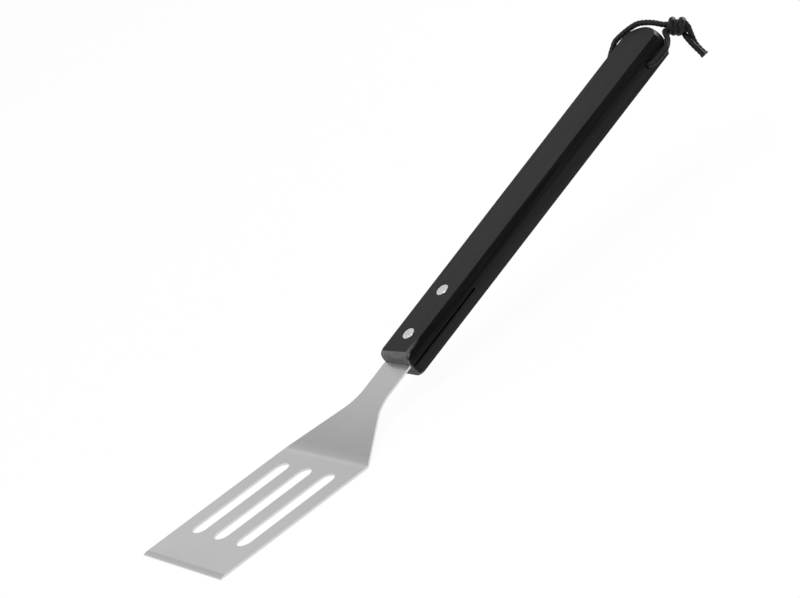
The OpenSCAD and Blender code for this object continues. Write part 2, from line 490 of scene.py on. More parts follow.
@dataclass(frozen=True)
class SatinSteel:
    """Stainless steel sheet, cold rolled, brushed lengthwise with a fine belt, then stamped.

    Levels scale the colour with painted light and shade. Runs are pairs of distances from the bend
    in millimetres, between which one level turns into the next.
    """

    colour: str = "#d4d4d4"
    dull_colour: str = "#cccccc"
    sheared_and_lit_colour: str = "#dcdcdc"
    rim_shadow_colour: str = "#707070"
    roughness: float = 0.42
    glint_roughness: float = 0.13
    glint_share: float = 0.28
    blade_level: float = 0.9
    blade_shade: float = 0.06
    blade_run: tuple[float, float] = (-70, -8)
    foot_level: float = 0.72
    slope_gain: float = 0.28
    slope_run: tuple[float, float] = (-10, 62)
    foot_run: tuple[float, float] = (0.5, 7)
    bevel_shade: float = 0.13
    bevel_run: tuple[float, float] = (-92.3, -92.8)
    edge_highlight: float = 0.12
    edge_run: tuple[float, float] = (-93.4, -95.8)
    bend_middle: float = -0.6
    bend_highlight: float = 0.06
    bend_run: tuple[float, float] = (3.4, 0.4)

    def level(self, tree: bpy.types.NodeTree, along: Feed) -> bpy.types.Node:
        """Painted light and shade along the sheet's length, where its reflections brighten and
        darken.

        Args:
            tree: Node tree that takes the nodes.
            along: Distance from the bend in millimetres.

        Returns:
            Node whose output scales the colour with painted light and shade: darkest just above the
            bend, a painted highlight on the bend, and painted shade on the ground bevel except for
            a painted highlight at its very edge.
        """
        # Painted light and shade: the blade is a little darker towards the bend, the slope is
        # darkest at its foot and lighter as it rises, the bevel is darker, and its very edge and
        # the bend are lighter as painted highlights.
        blade = stepped(tree, along, [(self.blade_run, -self.blade_shade)], self.blade_level)
        rising = stepped(tree, along, [(self.slope_run, self.slope_gain)], self.foot_level)
        foot = zone(tree, [(along, self.foot_run)])
        sheet = add_node(tree, "ShaderNodeMix", {0: foot, 2: blade, 3: rising})
        ends = [(self.bevel_run, -self.bevel_shade), (self.edge_run, self.edge_highlight)]
        painted_light = stepped(tree, along, ends, sheet)
        off = apart(tree, along, self.bend_middle)
        return stepped(tree, off, [(self.bend_run, self.bend_highlight)], painted_light)

    def build(self, slope: Slope) -> bpy.types.Material:
        """Two shines lie over each other, as on any brushed sheet.

        The flats between the scratches mirror crisply, and the scratches mirror as a wide soft
        blur.
        The sheared walls of the blank are pale raw steel with a painted highlight, and their
        tumbled rims are painted dark as the burr's shadow.

        Args:
            slope: Place of the bend.

        Returns:
            The finished material.
        """
        material, tree = new_material("satin_brushed_stainless")
        place = add_node(tree, "ShaderNodeTexCoord").outputs["Object"]
        along = in_millimetres(tree, local_position(tree, slope.at(0, 0)))["X"]
        # Belt scratches are finer than a pixel, so they are drawn 0.3 mm apart.
        scratches = stretched_noise(tree, place, (30, 0.3, 0.3), 3)
        clouds = stretched_noise(tree, place, (30, 20, 20), 2)
        speck = stretched_noise(tree, place, (1.2, 0.6, 0.6), 2)
        tone = weighted_sum(tree, [(scratches, 0.35), (speck, 0.45), (clouds, 0.2)])
        bright = zone(tree, [(tone, (0.3, 0.7))])
        inputs = {
            0: painted(tree, self.dull_colour, [(bright, self.colour)]),
            "Scale": self.level(tree, along),
        }
        colour = add_node(tree, "ShaderNodeVectorMath", inputs, operation="SCALE")
        # The sheared walls are pale raw steel, painted a little paler still as a highlight, and
        # their rims are painted dark as the burr's shadow.
        for name, coat in (("sheared", self.sheared_and_lit_colour), ("rim", self.rim_shadow_colour)):
            marked = add_node(tree, "ShaderNodeAttribute", attribute_name=name).outputs["Fac"]
            colour = painted(tree, colour, [(marked, coat)])
        relief = weighted_sum(tree, [(speck, 0.3)], scratches)
        normal = add_node(tree, "ShaderNodeBump", {"Height": relief, "Distance": 0.003 * MM})
        metal = {"Base Color": colour, "Metallic": 1.0, "Normal": normal}
        shines = [
            add_node(tree, "ShaderNodeBsdfPrincipled", {**metal, "Roughness": roughness})
            for roughness in (self.roughness, self.glint_roughness)
        ]
        dress_mixed(tree, self.glint_share, *shines)
        return material


@dataclass(frozen=True)
class GroundRivet:
    """Aluminium rivet head, ground flush with the wood and left with a bright rim."""

    colour: str = "#f0f0f0"
    centre_colour: str = "#d4d4d4"
    roughness: float = 0.3

    def build(self) -> bpy.types.Material:
        """Coarse grinding marks cross the head and give its middle a mottled grey.

        Returns:
            The finished material.
        """
        material, tree = new_material("ground_aluminium")
        place = add_node(tree, "ShaderNodeTexCoord").outputs["Object"]
        marks = stretched_noise(tree, place, (0.35, 2.5, 0.35), 3)
        mottle = stretched_noise(tree, place, (0.7, 0.7, 0.7), 3)
        middle = add_node(tree, "ShaderNodeAttribute", attribute_name="head_middle").outputs["Fac"]
        grey = zone(tree, [(mottle, (0.35, 0.7))], middle)
        dress(
            tree,
            {
                "Base Color": painted(tree, self.colour, [(grey, self.centre_colour)]),
                "Metallic": 1.0,
                "Roughness": self.roughness,
                "Normal": add_node(
                    tree, "ShaderNodeBump", {"Height": marks, "Distance": 0.01 * MM}
                ),
            },
        )
        return material


@dataclass(frozen=True)
class StainedBeech:
    """Beech, sanded, stained black and left with one thin satin coat.

    Places are pairs of millimetres along, across or up the handle, between which a zone begins.
    """

    colour: str = "#080808"
    grain_colour: str = "#181818"
    worn_colour: str = "#5a5a5a"
    lit_end_grain_colour: str = "#696969"
    end_pore_colour: str = "#3a3a3a"
    roughness: float = 0.33
    end_roughness: float = 0.6
    coat: float = 0.22
    coat_ior: float = 1.42
    end_depth: tuple[float, float] = (3.75, 3.45)
    end_slant: float = 0.0625
    end_shift: float = 0.6
    end_half_w: tuple[float, float] = (13.5, 13.2)
    rubbed_across: tuple[float, float] = (-9.2, -10.6)
    rubbed_up: tuple[float, float] = (6.6, 7.4)
    rubbed_along: tuple[float, float] = (15, 4)
    dulled_along: tuple[float, float] = (40, 240)
    dulled: float = 0.12
    wiped_up: tuple[float, float] = (1.5, -6.5)
    wiped: float = 0.35

    def end_grain(
        self, tree: bpy.types.NodeTree, parts: bpy.types.NodeOutputs, rag: Feed
    ) -> bpy.types.Node:
        """Where the front end is sanded back to pale end grain, also painted lighter for the light
        that it catches, with a ragged edge.

        Args:
            tree: Node tree that takes the nodes.
            parts: Outputs with the place along, across and up the handle in millimetres.
            rag: Noise that roughens the edge.

        Returns:
            Node whose output is 1 on the end grain.
        """
        # The sanded zone reaches 3 mm back on the top, and a little further on the right.
        depth = weighted_sum(tree, [(rag, 1.2), (parts["Y"], self.end_slant)], parts["X"])
        across = weighted_sum(tree, [(rag, 0.8)], apart(tree, parts["Y"], self.end_shift))
        return zone(tree, [(depth, self.end_depth), (across, self.end_half_w)])

    def rubbed(
        self, tree: bpy.types.NodeTree, parts: bpy.types.NodeOutputs, wear: Feed
    ) -> bpy.types.Node:
        """Where the right top arris behind the front end is rubbed paler by hands.

        Args:
            tree: Node tree that takes the nodes.
            parts: Outputs with the place along, across and up the handle in millimetres.
            wear: Noise that breaks the patch up.

        Returns:
            Node whose output is 1 where the stain is rubbed through.
        """
        bounds = (
            (parts["Y"], self.rubbed_across),
            (parts["Z"], self.rubbed_up),
            (parts["X"], self.rubbed_along),
            (wear, (0.3, 0.55)),
        )
        return zone(tree, bounds)

    def build(self, slope: Slope) -> bpy.types.Material:
        """Fine grain and short flecks run along the stick, and its end grain is paler, streaked and
        painted lighter for the light that it catches.

        Args:
            slope: Place of the handle.

        Returns:
            The finished material.
        """
        material, tree = new_material("black_stained_beech")
        place = local_position(tree, slope.handle)
        parts = in_millimetres(tree, place)
        grain = stretched_noise(tree, place, (38, 0.9, 0.9), 4)
        flecks = stretched_noise(tree, place, (2.2, 0.3, 0.3), 2)
        wear = stretched_noise(tree, place, (1.6, 0.7, 0.7), 3)
        # Rays of beech end grain are finer than a pixel, so the streaks are drawn 0.5 mm wide.
        streaks = stretched_noise(tree, place, (3, 0.5, 2.6), 4)
        pores = zone(tree, [(streaks, (0.42, 0.68))])
        # The pale end grain of the front end is also painted lighter for the light that it catches.
        ends = self.end_grain(tree, parts, wear)
        coats = (
            (zone(tree, [(grain, (0.35, 0.7))]), self.grain_colour),
            (self.rubbed(tree, parts, wear), self.worn_colour),
            (ends, painted(tree, self.lit_end_grain_colour, [(pores, self.end_pore_colour)])),
        )
        # The coat is smoothest on the top, dulls towards the rear and is wiped nearly off below.
        shine = weighted_sum(tree, [(flecks, 0.1)], self.roughness - 0.05)
        dulled = stepped(tree, parts["X"], [(self.dulled_along, self.dulled)], shine)
        wiped = stepped(tree, parts["Z"], [(self.wiped_up, self.wiped)], dulled)
        relief = weighted_sum(tree, [(flecks, -0.4)], grain)
        raw = self.end_roughness - self.roughness
        dress(
            tree,
            {
                "Base Color": painted(tree, self.colour, coats),
                "Roughness": weighted_sum(tree, [(ends, raw)], wiped),
                "IOR": self.coat_ior,
                "Specular IOR Level": self.coat,
                "Normal": add_node(
                    tree, "ShaderNodeBump", {"Height": relief, "Distance": 0.012 * MM}
                ),
            },
        )
        return material


@dataclass(frozen=True)
class WaxedCord:
    """Braided polyester cord, black, lightly waxed."""

    colour: str = "#070707"
    crown_highlight_colour: str = "#222222"
    roughness: float = 0.55
    wax: float = 0.25
    fuzz: float = 0.1
    fuzz_roughness: float = 0.4

    def build(self) -> bpy.types.Material:
        """The strands' crowns shine a little as a painted highlight, the gaps between them are
        painted darker as shade, and their filaments of 0.1 mm show as fine lines.

        Returns:
            The finished material.
        """
        material, tree = new_material("waxed_braided_cord")
        crown = add_node(tree, "ShaderNodeAttribute", attribute_name="crown").outputs["Fac"]
        lay = add_node(tree, "ShaderNodeUVMap", uv_map="lay")
        # The map runs in millimetres round and along. Filaments are drawn 0.3 mm wide to show.
        laid = add_node(tree, "ShaderNodeMapping", {"Vector": lay, "Scale": (3.3, 0.9, 1)})
        noise = {"Vector": laid, "Scale": 1.0, "Detail": 3.0}
        threads = add_node(tree, "ShaderNodeTexNoise", noise)
        # Painted highlight on the strands' crowns and painted shade in the gaps between them,
        # broken up by the filaments.
        painted_light = zone(tree, [(threads, (0.3, 0.75))], crown)
        dress(
            tree,
            {
                "Base Color": painted(tree, self.colour, [(painted_light, self.crown_highlight_colour)]),
                "Roughness": self.roughness,
                "Specular IOR Level": self.wax,
                "Sheen Weight": self.fuzz,
                "Sheen Roughness": self.fuzz_roughness,
                "Normal": add_node(
                    tree, "ShaderNodeBump", {"Height": threads, "Distance": 0.05 * MM}
                ),
            },
        )
        return material


# The hanging cord.


def smooth_path(points: Iterable[Vector], spacing: float, fineness: int = 16) -> list[Vector]:
    """Runs one smooth curve through points and walks along it in equal steps.

    Args:
        points: Points on the curve.
        spacing: Length of a step, in the same unit.
        fineness: Steps between two points in which the curve itself is worked out.

    Returns:
        The curve's points, first and last included.
    """
    knots = list(points)
    ends = [2 * knots[0] - knots[1], *knots, 2 * knots[-1] - knots[-2]]
    fine: list[Vector] = []
    for a, b, c, d in zip(ends, ends[1:], ends[2:], ends[3:]):
        for step in range(fineness):
            t = step / fineness
            fine.append(
                (
                    2 * b
                    + (c - a) * t
                    + (2 * a - 5 * b + 4 * c - d) * t**2
                    + (3 * b - a - 3 * c + d) * t**3
                )
                / 2
            )
    fine.append(knots[-1].copy())
    marks = [0.0]
    for a, b in zip(fine, fine[1:]):
        marks.append(marks[-1] + (b - a).length)
    count = max(2, round(marks[-1] / spacing))
    path, i = [], 0
    for step in range(count + 1):
        want = marks[-1] * step / count
        while i < len(marks) - 2 and marks[i + 1] < want:
            i += 1
        share = (want - marks[i]) / max(marks[i + 1] - marks[i], 1e-12)
        path.append(fine[i].lerp(fine[i + 1], share))
    return path


def path_length(path: list[Vector]) -> float:
    """Length of a path through its points."""
    return sum((b - a).length for a, b in zip(path, path[1:]))


@dataclass(frozen=True)
class Braid:
    """A round braid whose strands stand out of its surface."""

    diameter: float = 3.2
    sides: int = 36
    step: float = 0.25
    strands: int = 4
    pitch: float = 2.4
    relief: float = 0.34
    relief_inside: float = 0.62
    flatness: float = 0.6
    dive: float = 0.55
    end_swell: float = 0.14
    end_run: float = 1.6
    cap_inset: float = 0.45
    cap_dome: float = 0.2

    def crown(self, turn: float, along: float) -> float:
        """Height of the upper strand at a place on the braid.

        Args:
            turn: Angle round the cord as a share of a full turn.
            along: Distance along the cord.

        Returns:
            0 in the gaps between strands to 1 on a strand's crown.
        """
        first = self.strands * turn + along / self.pitch
        second = self.strands * turn - along / self.pitch
        over = (math.floor(first) + math.floor(second)) % 2 == 0
        width, length = (first, second) if over else (second, first)
        across = math.sin(math.pi * (width % 1))
        lengthwise = math.sin(math.pi * (length % 1))
        return across**self.flatness * (1 - self.dive + self.dive * math.sqrt(lengthwise))

    def ring(
        self,
        mesh: bmesh.types.BMesh,
        centre: Vector,
        across: tuple[Vector, Vector],
        along: float,
        spread: float,
    ) -> list[bmesh.types.BMVert]:
        """Adds one ring of the braid's surface, with its crown heights.

        Args:
            mesh: Mesh that takes it.
            centre: Point of the path.
            across: Two unit vectors at right angles to the path and to each other.
            along: Distance along the path.
            spread: Share by which the ring is widened.

        Returns:
            Its vertices in order.
        """
        crowns = mesh.verts.layers.float["crown"]
        core = self.diameter / 2 - self.relief * self.relief_inside
        ring = []
        for k in range(self.sides):
            turn = k / self.sides
            height = self.crown(turn, along)
            reach = (core + self.relief * height) * spread
            angle = FULL_TURN * turn
            out = across[0] * math.cos(angle) + across[1] * math.sin(angle)
            vertex = mesh.verts.new(centre + out * reach)
            vertex[crowns] = height
            ring.append(vertex)
        return ring

    def skin(
        self,
        mesh: bmesh.types.BMesh,
        low: tuple[list[bmesh.types.BMVert], float],
        high: tuple[list[bmesh.types.BMVert], float],
    ) -> None:
        """Adds the faces between two rings, with the map of their lay.

        Args:
            mesh: Mesh that takes them.
            low: First ring and its distance along the path.
            high: Next ring and its distance along the path.
        """
        lay = mesh.loops.layers.uv["lay"]
        girth = math.pi * self.diameter / self.sides
        (first, start), (last, end) = low, high
        for k in range(self.sides):
            after = (k + 1) % self.sides
            face = mesh.faces.new((first[k], first[after], last[after], last[k]))
            corners = ((k, start), (k + 1, start), (k + 1, end), (k, end))
            for loop, (round_at, at) in zip(face.loops, corners):
                loop[lay].uv = (round_at * girth, at)

    def close(
        self, mesh: bmesh.types.BMesh, ring: list[bmesh.types.BMVert], way: Vector
    ) -> None:
        """Closes an end with a low dome.

        Args:
            mesh: Mesh that takes it.
            ring: Ring at that end.
            way: Unit vector that points out of the end.
        """
        cap = mesh.faces.new(ring)
        bmesh.ops.inset_individual(mesh, faces=[cap], thickness=self.cap_inset, depth=0.0)
        for vertex in cap.verts:
            vertex.co += way * self.cap_dome
        bmesh.ops.poke(mesh, faces=[cap])

    def sweep(self, path: list[Vector], swell_end: bool = False) -> bmesh.types.BMesh:
        """Sweeps the braid along a path, with its ends closed.

        Args:
            path: Points in millimetres, a step apart.
            swell_end: True where the far end is cut off and spreads.

        Returns:
            The mesh in millimetres, with crown heights and a map of its lay.
        """
        mesh = bmesh.new()
        mesh.verts.layers.float.new("crown")
        mesh.loops.layers.uv.new("lay")
        ways = [
            (path[min(i + 1, len(path) - 1)] - path[max(i - 1, 0)]).normalized()
            for i in range(len(path))
        ]
        normal = ways[0].orthogonal().normalized()
        rings = []
        along, total = 0.0, path_length(path)
        for i, (point, way) in enumerate(zip(path, ways)):
            if i:
                along += (point - path[i - 1]).length
            normal = (normal - way * normal.dot(way)).normalized()
            spread = 1.0
            if swell_end:
                spread += self.end_swell * max(0.0, 1 - (total - along) / self.end_run)
            ring = self.ring(mesh, point, (normal, way.cross(normal)), along, spread)
            rings.append((ring, along))
        for low, high in zip(rings, rings[1:]):
            self.skin(mesh, low, high)
        self.close(mesh, rings[0][0], -ways[0])
        self.close(mesh, rings[-1][0], ways[-1])
        bmesh.ops.recalc_face_normals(mesh, faces=mesh.faces)
        return mesh


@dataclass
class HangingCord:
    """One cord through the cross hole, both legs tied in an overhand knot, with two loose tails.

    Route points are along the handle, across it and up from the middle of the hole.
    """

    slope: Slope
    braid: Braid = Braid()
    loop_route: Route = (
        (29.8, -9.2, -0.8), (28.6, -7.2, -0.6), (27, -7, 0), (24.8, -9.2, 0.6),
        (21.4, -13.4, 0.4), (17.8, -16.6, 0.3), (13.4, -19.1, 0.3), (9.3, -20, 0.3),
        (5.8, -19.7, 0.3), (2.8, -18.8, 0.1), (0.8, -17.2, 0), (0, -15, 0), (0, -7, 0),
        (0, 0, 0), (0, 7, 0), (0, 15, 0), (0.9, 17.4, 0.6), (2.8, 18.9, 1.7), (5.6, 19.3, 3.1),
        (9, 19.1, 4.8), (12.6, 18.3, 6.6), (17.6, 15.5, 7.4), (21.8, 11.9, 8),
        (24.6, 7.8, 8.3), (26.4, 3, 7.4), (27.4, -1.4, 6.2), (28, -4.6, 4.8),
        (28.9, -7.4, 3.2), (30.8, -10.8, 1.9),
    )
    inner_tail: Route = (
        (32.2, -13.2, -5.6), (30.7, -15.4, -8.2), (29.4, -18, -11.4), (28.3, -20.9, -14.9),
        (27.7, -23, -17.8), (27.3, -24.2, -19.4),
    )
    outer_tail: Route = (
        (35, -16, -1.7), (34.4, -17.3, -3.8), (33.6, -17.3, -6.7), (33.4, -16.4, -10.2),
        (31.9, -17.3, -13.8), (30.8, -19.4, -17.4), (30.4, -21.6, -21.5),
    )
    knot_centre: tuple[float, float, float] = (32.2, -12.6, -1.5)
    knot_way: tuple[float, float, float] = (0.5, -0.65, -0.57)
    nominal_d: float = 3.0
    knot_d: float = 3.9
    wrap_spacing: float = 15
    wrapping_leg: Route = (
        (150, 1.0, -2.4), (120, 0.9, 0.2), (60, 1.4, 2.4), (40, 2.6, 3.4), (80, 3.3, 3.2),
        (115, 3.6, 2.6),
    )
    wraps: Route = (
        (150, 3.6, 1.9), (240, 3.6, 1.5), (330, 3.4, 0.5), (420, 3.0, 0.1), (510, 2.1, -0.5),
        (600, 3.3, -1.4), (690, 3.4, -2.4), (780, 3.2, -3.0), (870, 3.4, -3.5),
        (960, 3.4, -4.3), (1050, 3.0, -4.9), (1140, 1.6, -3.8),
    )
    core_leg: Route = (
        (330, 1.5, -2.2), (320, 1.5, 0.6), (330, 1.6, 2.4), (0, 1.4, 4.2), (50, 1.2, 5.6),
        (80, 0.9, 3.4),
    )
    inner_start: Route = (
        (200, 1.8, -2.6), (140, 1.9, -3.9), (80, 1.8, -4.0), (30, 1.6, -2.2), (345, 1.8, -0.2),
    )
    outer_start: Route = ((100, 1.8, -3.4), (130, 1.6, -0.6), (160, 2.6, 2.0))

    @property
    def knot_frame(self) -> Matrix:
        """Frame of the knot, its Z along the knot.

        Returns:
            Matrix from that frame to the hole's frame.
        """
        way = Vector(self.knot_way).normalized()
        across = UP.cross(way).normalized()
        turned = Matrix((across.cross(way), across, way)).transposed().to_4x4()
        return Matrix.Translation(Vector(self.knot_centre)) @ turned

    def in_knot(self, angle_deg: float, radius: float, height: float) -> Vector:
        """Point of the knot.

        Args:
            angle_deg: Angle round the knot.
            radius: Distance from its axis.
            height: Distance along it from its middle, away from the loop.

        Returns:
            The point in the hole's frame.
        """
        angle = math.radians(angle_deg)
        return self.knot_frame @ Vector(
            (radius * math.cos(angle), radius * math.sin(angle), height)
        )

    def knotted(self, places: Route) -> list[Vector]:
        """Points in the hole's frame from angles in degrees, radii and heights in the knot."""
        return [self.in_knot(*place) for place in places]

    def wrapping_strand(self, start: Vector) -> list[Vector]:
        """Path of the leg that runs through the knot and wraps back round it three times.

        Args:
            start: Where the leg comes in.

        Returns:
            Points in the hole's frame.
        """
        turns = smooth_path(map(Vector, self.wraps), self.wrap_spacing)
        points = [start, *self.knotted(self.wrapping_leg), *self.knotted(turns)]
        return smooth_path(points, self.braid.step)

    def core_strand(self, start: Vector) -> list[Vector]:
        """Path of the leg that comes in at the start and fills the knot's core."""
        return smooth_path([start, *self.knotted(self.core_leg)], self.braid.step)

    def tail_path(self, start: Route, route: Route) -> list[Vector]:
        """Path of a tail through its places inside the knot and along its route outside."""
        points = [*self.knotted(start), *map(Vector, route)]
        return smooth_path(points, self.braid.step)

    def piece(
        self, name: str, meshes: list[bmesh.types.BMesh], material: bpy.types.Material
    ) -> bpy.types.Object:
        """Joins swept strands into one object in the row frame.

        Args:
            name: The object's name.
            meshes: Swept strands in the hole's frame. They are freed.
            material: The cord's finish.

        Returns:
            The new object.
        """
        whole = meshes[0]
        for other in meshes[1:]:
            data = bpy.data.meshes.new("strand")
            other.to_mesh(data)
            other.free()
            whole.from_mesh(data)
            bpy.data.meshes.remove(data)
        place_mesh(whole, self.slope.hole)
        return finish_mesh(whole, name, material, crease_deg=80, weighted=False)

    def build(self, material: bpy.types.Material) -> None:
        """Args:
            material: The cord's finish.
        """
        hole = self.slope.hole
        loop_path = smooth_path(map(Vector, self.loop_route), self.braid.step)
        loop = self.piece("hanging_loop_cord", [self.braid.sweep(loop_path)], material)
        fit_out(loop, Body.CORD, Slot.CORD, "cord_loop")
        pulled = replace(self.braid, diameter=self.knot_d)
        paths = (self.wrapping_strand(loop_path[-1]), self.core_strand(loop_path[0]))
        knot = self.piece("overhand_knot", [pulled.sweep(path) for path in paths], material)
        fit_out(knot, Body.CORD, Slot.CORD, "cord_knot")
        for name, start, route, node in (
            ("inner_tail_cord", self.inner_start, self.inner_tail, "inner_tail"),
            ("outer_tail_cord", self.outer_start, self.outer_tail, "outer_tail"),
        ):
            path = self.tail_path(start, route)
            tail = self.piece(name, [self.braid.sweep(path, swell_end=True)], material)
            fit_out(tail, Body.CORD, Slot.CORD, node)
            LOG.info("%s is %.1f mm long", name, path_length(path))
        LOG.info("the loop is %.1f mm long", path_length(loop_path))


# The blade.


@dataclass
class BladeSheet:
    """One stamped sheet: slotted blade, bend, tapering shoulder, neck and tang."""

    slope: Slope
    front_w: float = 75
    rear_w: float = 76
    edge_t: float = 0.8
    bevel_len: float = 3.5
    slot_w: float = 10.3
    slot_len: float = 65
    slot_pitch: float = 21.3
    slot_front: float = 23.5
    neck_w: float = 22.5
    tang_end_gap: float = 1.5
    bend_r: float = 6
    corner_r: float = 5
    neck_fillet_r: float = 22
    corner_segments: int = 12
    slot_end_gap: float = 0.002
    weld: float = 0.01
    burr_r: float = 0.2
    burr_steps: int = 2
    burr_deg: float = 45
    wall_lean: float = 0.3
    flat_lean: float = 0.95
    bend_cuts: int = 16

    @property
    def middle_r(self) -> float:
        """Radius of the bend at the middle of the sheet."""
        return self.bend_r + self.slope.sheet_t / 2

    @property
    def bend_start(self) -> float:
        """Distance from the front edge to where the sheet starts to bend."""
        return self.slope.blade_len - self.middle_r * math.tan(self.slope.rise / 2)

    @property
    def bend_run(self) -> float:
        """Length of sheet in the bend."""
        return self.middle_r * self.slope.rise

    def flat_x(self, along: float) -> float:
        """Distance from the blank's front edge of a point that ends up this far up the slope."""
        lead = self.slope.blade_len - self.bend_start
        return self.bend_start + self.bend_run + along - lead

    def outline(self, mesh: bmesh.types.BMesh) -> None:
        """Adds the edge of the blank.

        Args:
            mesh: Mesh that takes it.
        """
        neck_x = self.flat_x(self.slope.shoulder_len)
        tang_x = self.flat_x(self.slope.handle_front + self.slope.kerf_len - self.tang_end_gap)
        half = [
            (0.0, self.front_w / 2),
            (self.slope.blade_len, self.rear_w / 2),
            (neck_x, self.neck_w / 2),
            (tang_x, self.neck_w / 2),
        ]
        corners = [mesh.verts.new((x, y, 0)) for x, y in half]
        corners += [mesh.verts.new((x, -y, 0)) for x, y in reversed(half)]
        mesh.faces.new(corners)
        turn = math.atan2((self.rear_w - self.neck_w) / 2, neck_x - self.slope.blade_len)
        rear, neck = (corners[1], corners[6]), (corners[2], corners[5])
        for pair, radius in ((rear, self.corner_r), (neck, self.neck_fillet_r)):
            offset = radius * math.tan(turn / 2)
            bevel(mesh, list(pair), offset, self.corner_segments, affect="VERTICES")

    def add_slot(self, mesh: bmesh.types.BMesh, across: float) -> None:
        """Adds the edge of one slot with round ends.

        Args:
            mesh: Mesh that takes it.
            across: Place of its middle line across the blade.
        """
        low, high = across - self.slot_w / 2, across + self.slot_w / 2
        near, far = self.slot_front, self.slot_front + self.slot_len
        places = ((near, low), (far, low), (far, high), (near, high))
        corners = [mesh.verts.new((x, y, 0)) for x, y in places]
        mesh.faces.new(corners)
        offset = self.slot_w / 2 - self.slot_end_gap
        bevel(mesh, corners, offset, self.corner_segments, affect="VERTICES")

    def grind(self, mesh: bmesh.types.BMesh) -> None:
        """Grinds the top of the front edge to a bevel.

        Args:
            mesh: The flat sheet.
        """
        self.cut_across(mesh, self.bevel_len)
        top, slope = self.slope.sheet_t, (self.slope.sheet_t - self.edge_t) / self.bevel_len
        for vertex in mesh.verts:
            left = self.bevel_len - vertex.co.x
            if left > 0:
                vertex.co.z *= 1 - left * slope / top

    @staticmethod
    def cut_across(mesh: bmesh.types.BMesh, x: float) -> None:
        """Adds a line of edges across the sheet.

        Args:
            mesh: The flat sheet.
            x: Distance from its front edge.
        """
        bmesh.ops.bisect_plane(
            mesh,
            geom=[*mesh.verts, *mesh.edges, *mesh.faces],
            dist=WELD,
            plane_co=(x, 0, 0),
            plane_no=(1, 0, 0),
        )

    def mark_sheared(self, mesh: bmesh.types.BMesh) -> None:
        """Marks the sheared walls of the outline and slots, and their rims, for the finish.

        Args:
            mesh: The flat sheet.
        """
        sheared = mesh.faces.layers.float.new("sheared")
        rim = mesh.faces.layers.float.new("rim")
        mesh.normal_update()
        for face in mesh.faces:
            lean = abs(face.normal.z)
            face[sheared] = float(lean < self.wall_lean)
            face[rim] = float(self.wall_lean <= lean < self.flat_lean)

    def bent(self, point: Vector) -> Vector:
        """Where a point of the flat sheet lies once the sheet is bent.

        Args:
            point: Place on the flat sheet.

        Returns:
            Its place on the bent sheet.
        """
        run = point.x - self.bend_start
        if run <= 0:
            return point.copy()
        turn = self.slope.rise * min(run / self.bend_run, 1)
        reach = self.middle_r - (point.z - self.slope.sheet_t / 2)
        beyond = max(run - self.bend_run, 0)
        centre_z = self.slope.sheet_t / 2 + self.middle_r
        return Vector(
            (
                self.bend_start + reach * math.sin(turn) + beyond * math.cos(turn),
                point.y,
                centre_z - reach * math.cos(turn) + beyond * math.sin(turn),
            )
        )

    def blank(self) -> bmesh.types.BMesh:
        """Stamps the flat sheet with its slots.

        Returns:
            The sheet, with its underside at height 0.
        """
        mesh = bmesh.new()
        self.outline(mesh)
        for i in (-1, 0, 1):
            self.add_slot(mesh, i * self.slot_pitch)
        bmesh.ops.delete(mesh, geom=mesh.faces[:], context="FACES_ONLY")
        bmesh.ops.remove_doubles(mesh, verts=mesh.verts, dist=self.weld)
        bmesh.ops.triangle_fill(mesh, use_beauty=True, use_dissolve=False, edges=mesh.edges[:])
        bmesh.ops.recalc_face_normals(mesh, faces=mesh.faces)
        if mesh.faces[0].normal.z > 0:
            bmesh.ops.reverse_faces(mesh, faces=mesh.faces)
        raised = bmesh.ops.extrude_face_region(mesh, geom=mesh.faces[:], use_keep_orig=True)
        tops = [g for g in raised["geom"] if isinstance(g, bmesh.types.BMVert)]
        bmesh.ops.translate(mesh, vec=(0, 0, self.slope.sheet_t), verts=tops)
        bmesh.ops.recalc_face_normals(mesh, faces=mesh.faces)
        return mesh

    def ease_burrs(self, mesh: bmesh.types.BMesh) -> None:
        """Rounds the rims of the outline and slots a little.

        Args:
            mesh: The flat sheet.
        """
        limit = math.radians(self.burr_deg)
        sharp = [e for e in mesh.edges if e.is_manifold and e.calc_face_angle(0) > limit]
        rims = [e for e in sharp if abs(e.verts[0].co.z - e.verts[1].co.z) < TOUCH]
        bevel(mesh, rims, self.burr_r, self.burr_steps)

    def build(self, material: bpy.types.Material) -> None:
        """Stamps the blank, rounds its burrs, grinds its edge and bends it.

        Args:
            material: The sheet's finish.
        """
        mesh = self.blank()
        self.ease_burrs(mesh)
        self.mark_sheared(mesh)
        self.grind(mesh)
        for i in range(self.bend_cuts + 1):
            self.cut_across(mesh, self.bend_start + self.bend_run * i / self.bend_cuts)
        for vertex in mesh.verts:
            vertex.co = self.bent(vertex.co)
        place_mesh(mesh, Matrix.Scale(MM, 4) @ Matrix.Translation((-self.slope.origin_x, 0, 0)))
        piece = finish_mesh(mesh, "slotted_blade", material, crease_deg=14)
        fit_out(piece, Body.TURNER, Slot.STEEL, "blade_sheet")


# The handle.


